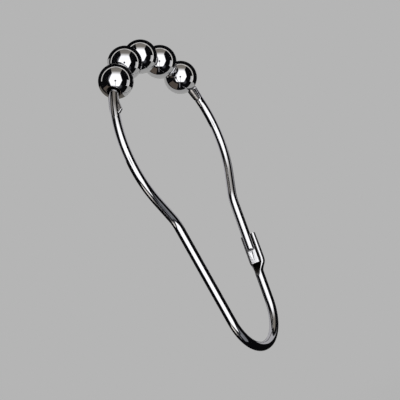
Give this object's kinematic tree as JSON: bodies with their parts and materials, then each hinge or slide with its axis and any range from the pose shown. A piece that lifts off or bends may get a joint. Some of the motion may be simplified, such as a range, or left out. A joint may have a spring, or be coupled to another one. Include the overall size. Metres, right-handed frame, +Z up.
{
  "type": "shower curtain hook",
  "caption": "Bent spring-wire curtain hook with roller balls along its top arc and a pressed latch that closes the loop at one leg.",
  "frame": {"origin": "centre of the top arc, where the curtain rod passes", "axes": "+Z up with the hook hanging from the rod, Y along the rod, the wire lies in the XZ plane and the latch is on the +X leg"},
  "size_m": [0.045, 0.0078, 0.0775],
  "materials": {
    "plated_wire": "bright chrome plated spring steel wire",
    "plated_ball": "bright chrome plated ball"
  },
  "bodies": {
    "wire": {"hook_wire": "plated_wire"},
    "ball_1": {"roller_1": "plated_ball"},
    "ball_2": {"roller_2": "plated_ball"},
    "ball_3": {"roller_3": "plated_ball"},
    "ball_4": {"roller_4": "plated_ball"},
    "ball_5": {"roller_5": "plated_ball"}
  },
  "joints": [
    {"name": "roller_1_spin", "type": "hinge", "parent": "wire", "child": "ball_1", "pos_m": [-0.01312, 0, 0.0168], "axis": [0.7882, 0, 0.6154], "continuous": true},
    {"name": "roller_2_spin", "type": "hinge", "parent": "wire", "child": "ball_2", "pos_m": [-0.00605, 0, 0.02044], "axis": [0.9589, 0, 0.2839], "continuous": true},
    {"name": "roller_3_spin", "type": "hinge", "parent": "wire", "child": "ball_3", "pos_m": [0.00186, 0, 0.02124], "axis": [0.9962, 0, -0.0872], "continuous": true},
    {"name": "roller_4_spin", "type": "hinge", "parent": "wire", "child": "ball_4", "pos_m": [0.00951, 0, 0.01908], "axis": [0.895, 0, -0.4461], "continuous": true},
    {"name": "roller_5_spin", "type": "hinge", "parent": "wire", "child": "ball_5", "pos_m": [0.01584, 0, 0.01427], "axis": [0.6693, 0, -0.743], "continuous": true}
  ]
}
